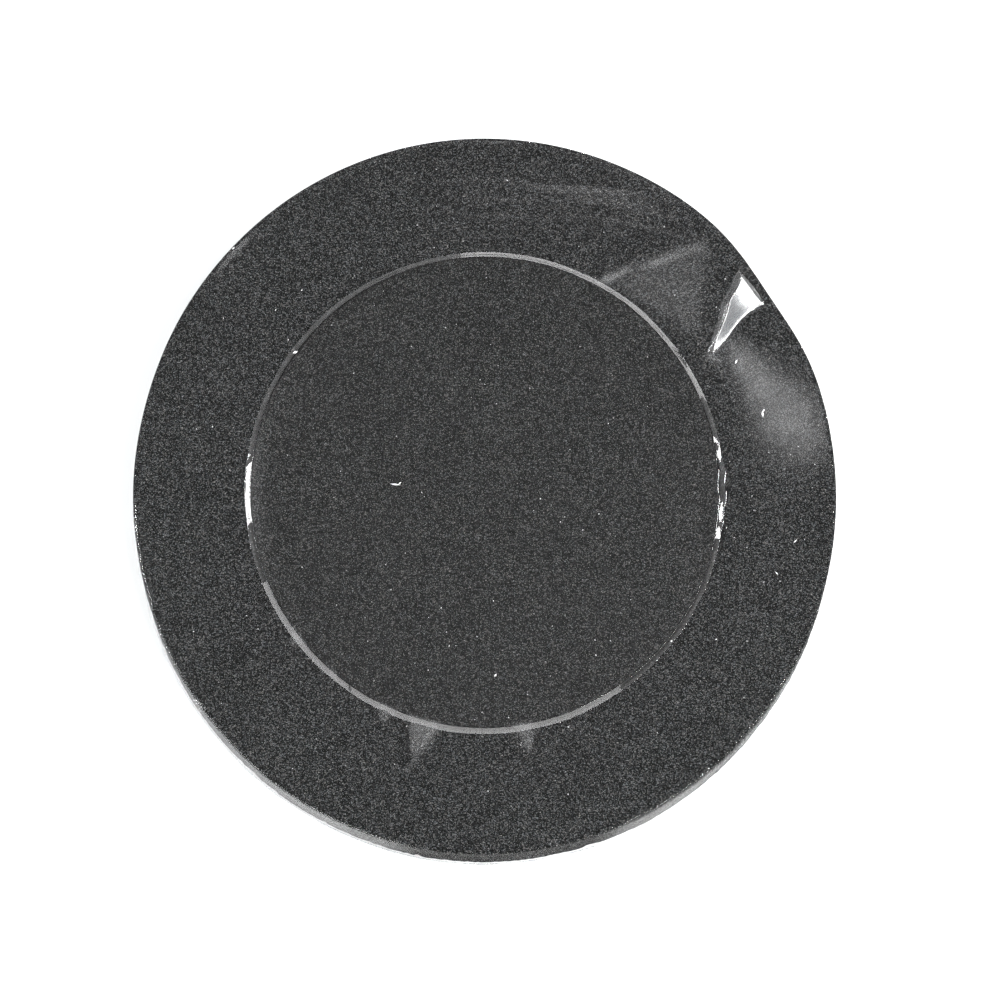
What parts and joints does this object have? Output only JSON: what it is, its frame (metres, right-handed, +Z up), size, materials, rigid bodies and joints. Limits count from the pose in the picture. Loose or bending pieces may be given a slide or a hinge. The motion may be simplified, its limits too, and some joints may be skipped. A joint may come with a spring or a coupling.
{
  "type": "round stone slab",
  "caption": "Round dark granite work slab with a raised centre disc, sealed in clear shrink film with creases and a weld seam.",
  "frame": {"origin": "centre of the lowest face, the underside of the base film, which lies on the bench", "axes": "+Z up, square to the slab's faces and along its axis; +X and +Y in the bench's plane"},
  "size_m": [0.3068, 0.3068, 0.0214],
  "materials": {
    "slab_stone": "satin",
    "disc_stone": "satin",
    "bond": "matte",
    "film": "gloss",
    "weld": "gloss"
  },
  "bodies": {
    "root": {"film_base": "film", "base_slab": "slab_stone", "bond_bed": "bond", "centre_disc": "disc_stone", "film_top": "film", "weld_bead": "weld"}
  },
  "joints": []
}
